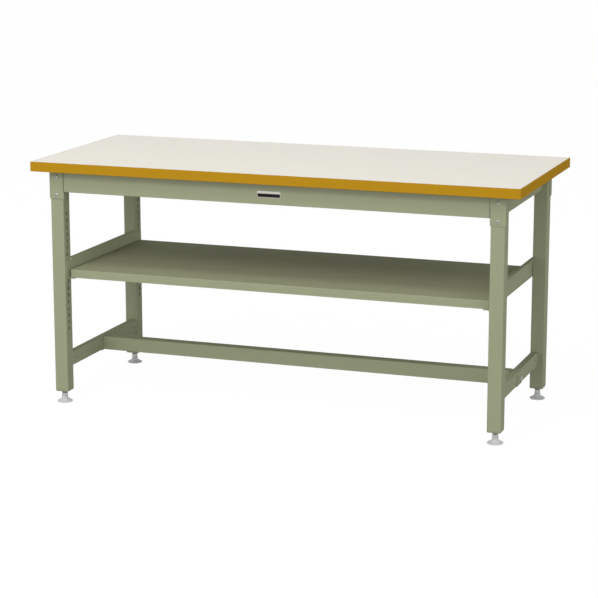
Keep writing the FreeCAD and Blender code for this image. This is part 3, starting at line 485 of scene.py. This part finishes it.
# radius and height of each ring, the pad's from inside its hollow, round the rim and up the neck
# to the bottom of the stem's hole, and the others' from below
PAD_ROWS = [(0.0225, 0.0014), (0.0235, 0.0012), (0.0242, 0), (0.0270, 0), (0.0276, 0.0002),
            (0.0280, 0.0008), (0.0280, 0.0030), (0.0276, 0.0037), (0.0268, 0.0042),
            (0.0250, 0.0048), (0.0225, 0.0060), (0.0200, 0.0075), (0.0173, 0.0091),
            (0.0150, 0.0108), (0.0134, 0.0125), (0.0122, 0.0142), (0.0115, 0.0157),
            (0.0111, 0.0169), (0.0110, 0.0175), (0.0103, 0.0179), (0.0103, 0.0184),
            (0.0110, 0.0188), (0.0110, 0.0206), (0.0103, 0.0210), (0.0103, 0.0215),
            (0.0110, 0.0219), (0.0111, 0.0235), (0.0114, 0.0250), (0.0112, 0.0257),
            (0.0107, 0.0260), (0.0055, 0.0260), (0.0051, 0.0256), (0.0051, 0.0118)]
STEM_ROWS = [(0.0044, 0.0120), (0.0050, 0.0126), (0.0050, 0.0330), (0.00495, 0.0332),
             (0.00495, 0.0957), (0.0042, 0.0965)]
COLLAR_ROWS = [(0.0094, 0.0260), (0.0110, 0.0269), (0.0110, 0.0321), (0.0094, 0.0330)]

stem = turned("stem", STEM_ROWS, sides=32)
# the prism is longer than the collar, so that the cut alone makes the collar's flat ends
collar = hexagon(COLLAR_ACROSS, 0, 2 * COLLAR_ROWS[-1][1])
cut(collar, turned("chamfers", COLLAR_ROWS, sides=96), "INTERSECT")

# the thread's triangle, point outwards, wound up around the stem
bpy.ops.object.select_all(action="DESELECT")
bpy.ops.mesh.primitive_circle_add(vertices=3, radius=THREAD_SIZE)
thread = bpy.context.object
thread.rotation_euler = (math.pi / 2, 0, 0)
bpy.ops.object.transform_apply(location=True, rotation=True, scale=True)
thread.rotation_euler = (0, math.pi / 2, 0)
thread.location = (THREAD_RADIUS - THREAD_SIZE, 0, THREAD_START)
bpy.ops.object.transform_apply(location=True, rotation=True, scale=True)
winding = thread.modifiers.new("winding", "SCREW")
winding.screw_offset = THREAD_PITCH
winding.iterations = THREAD_TURNS
winding.steps = THREAD_STEPS
winding.render_steps = THREAD_STEPS
bpy.ops.object.modifier_apply(modifier=winding.name)
bpy.ops.object.mode_set(mode="EDIT")
bpy.ops.mesh.select_all(action="SELECT")
bpy.ops.mesh.remove_doubles(threshold=0.00001)
bpy.ops.mesh.fill_holes(sides=0)
bpy.ops.mesh.select_all(action="SELECT")
bpy.ops.mesh.normals_make_consistent(inside=False)
bpy.ops.object.mode_set(mode="OBJECT")

for part in (stem, collar, thread):
    part.select_set(True)
bpy.context.view_layer.objects.active = stem
bpy.ops.object.join()
bpy.ops.object.shade_smooth_by_angle(angle=math.radians(30))
pad = turned("pad", PAD_ROWS, sides=64)
bpy.ops.object.shade_smooth_by_angle(angle=math.radians(35))

# painted shade: the lock nuts get a darker copy of the zinc, for the leg's shadow over them
shaded_zinc = plated("zinc_painted_shade", (0.20, 0.20, 0.19), spread=0.12)
dress(shaded_zinc, *at_corners("lock_nut"))
stem.data.materials.append(zinc.material)
nylon = Finish("foot_nylon", (0.62, 0.63, 0.60), {"Roughness": 0.45, "Specular IOR Level": 0.15})
nylon.link(base_color=nylon.shades(nylon.noise(size=0.02), spread=0.03),
           normal=nylon.bump(nylon.noise(size=0.0008), depth=0.00008, strength=0.5))
pad.data.materials.append(nylon.material)

for corner in CORNERS:
    low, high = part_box("leg_" + corner)
    place = ((low[0] + high[0]) / 2, (low[1] + high[1]) / 2, 0)
    piece = copied(stem, "threaded_stem_" + corner, place)
    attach(piece, "stem_" + corner)
    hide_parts("foot_stem_" + corner)
    piece = copied(pad, "nylon_pad_" + corner, place)
    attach(piece, "pad_" + corner)
    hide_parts("foot_pad_" + corner)
for model in (stem, pad):
    bpy.data.objects.remove(model)


# Studio: a plain pale floor and a plain pale surround, brightest near the horizon in front of the
# table and to its right. Seen directly or in a reflection both are white, and the floor keeps a
# little of the table's shadow. Four soft lamps hang high in front of the table and at its sides.
FLOOR_SIDE = 40.0
FLOOR_COLOR = (0.50, 0.50, 0.50)
FLOOR_GLOW = 1.10
FLOOR_SHADOW = 0.12
# the surround's light from each side near the horizon and from above, and the heights between
# which one turns into the other, as sines of the angle above the horizon
RIGHT, LEFT, FRONT, BACK = 1.33, 0.47, 1.40, 0.62
ABOVE = 0.28
HORIZON_ENDS = 0.15
ABOVE_STARTS = 0.6
SKY = (0.98, 1.0, 1.08)
WHITE = (1, 1, 1)
LAMP_TARGET = Vector((0, 0, 0.5))
LAMP_DISTANCE = 6.2
# degrees to the right of the table's front and up from the floor, side in metres, power in watts
LAMPS = [
    (-10, 38, 1.6, 94),
    (-10, 60, 1.6, 73),
    (60, 35, 2.5, 24),
    (-60, 25, 2.5, 14),
]


def seen_directly(shading):
    """1 for rays from the camera, from a reflection or through glass, and 0 for the rest."""
    camera_ray, glossy_ray, glass_ray = (
        shading.node("LightPath", {}, {}, f"Is {kind} Ray")
        for kind in ("Camera", "Glossy", "Transmission"))
    total = camera_ray + glossy_ray + glass_ray
    return total.math("MINIMUM", total, 1)


bpy.ops.object.select_all(action="DESELECT")
bpy.ops.mesh.primitive_grid_add(x_subdivisions=2, y_subdivisions=2, size=FLOOR_SIDE)
floor = bpy.context.object
floor.name = "floor"
bpy.ops.object.transform_apply(scale=True)
pale = Finish("pale_floor", FLOOR_COLOR, {"Roughness": 0.9, "Specular IOR Level": 0})
glow = pale.node("Emission", {}, {"Strength": FLOOR_GLOW})
lit = Output(pale, pale.shader.outputs["BSDF"])
bright = seen_directly(pale) * (1 - FLOOR_SHADOW)
shown = pale.node("MixShader", {}, {0: bright, 1: lit, 2: glow})
pale.fill(pale.nodes["Material Output"], {"Surface": shown})
floor.data.materials.append(pale.material)

world = bpy.data.worlds.new("surround")
world.use_nodes = True
bpy.context.scene.world = world
surround = Shading(world.node_tree)
facing = surround.node("TexCoord", {}, {}, "Generated")
to_right, to_back, up = (surround.node("SeparateXYZ", {}, {"Vector": facing}, axis) for axis in "XYZ")
# each side's light counts by how far the direction points to it
horizon = (abs(to_right) * ((RIGHT + LEFT) / 2) + to_right * ((RIGHT - LEFT) / 2)
           + abs(to_back) * ((BACK + FRONT) / 2) + to_back * ((BACK - FRONT) / 2))
light = surround.smooth(up, HORIZON_ENDS, ABOVE_STARTS, horizon, ABOVE)
seen = seen_directly(surround)
surround.fill(surround.nodes["Background"], {"Color": surround.mix(seen, SKY, WHITE),
                                             "Strength": (1 - seen) * light + seen})

for azimuth, elevation, side, power in LAMPS:
    lamp_data = bpy.data.lights.new("soft_lamp", "AREA")
    lamp_data.shape = "SQUARE"
    lamp_data.size = side
    lamp_data.energy = power
    lamp = bpy.data.objects.new("soft_lamp", lamp_data)
    turn = math.radians(azimuth)
    lift = math.radians(elevation)
    out = Vector((math.sin(turn) * math.cos(lift), -math.cos(turn) * math.cos(lift), math.sin(lift)))
    lamp.location = LAMP_TARGET + LAMP_DISTANCE * out
    lamp.rotation_mode = "QUATERNION"
    lamp.rotation_quaternion = (-out).to_track_quat("-Z", "Y")
    bpy.context.scene.collection.objects.link(lamp)
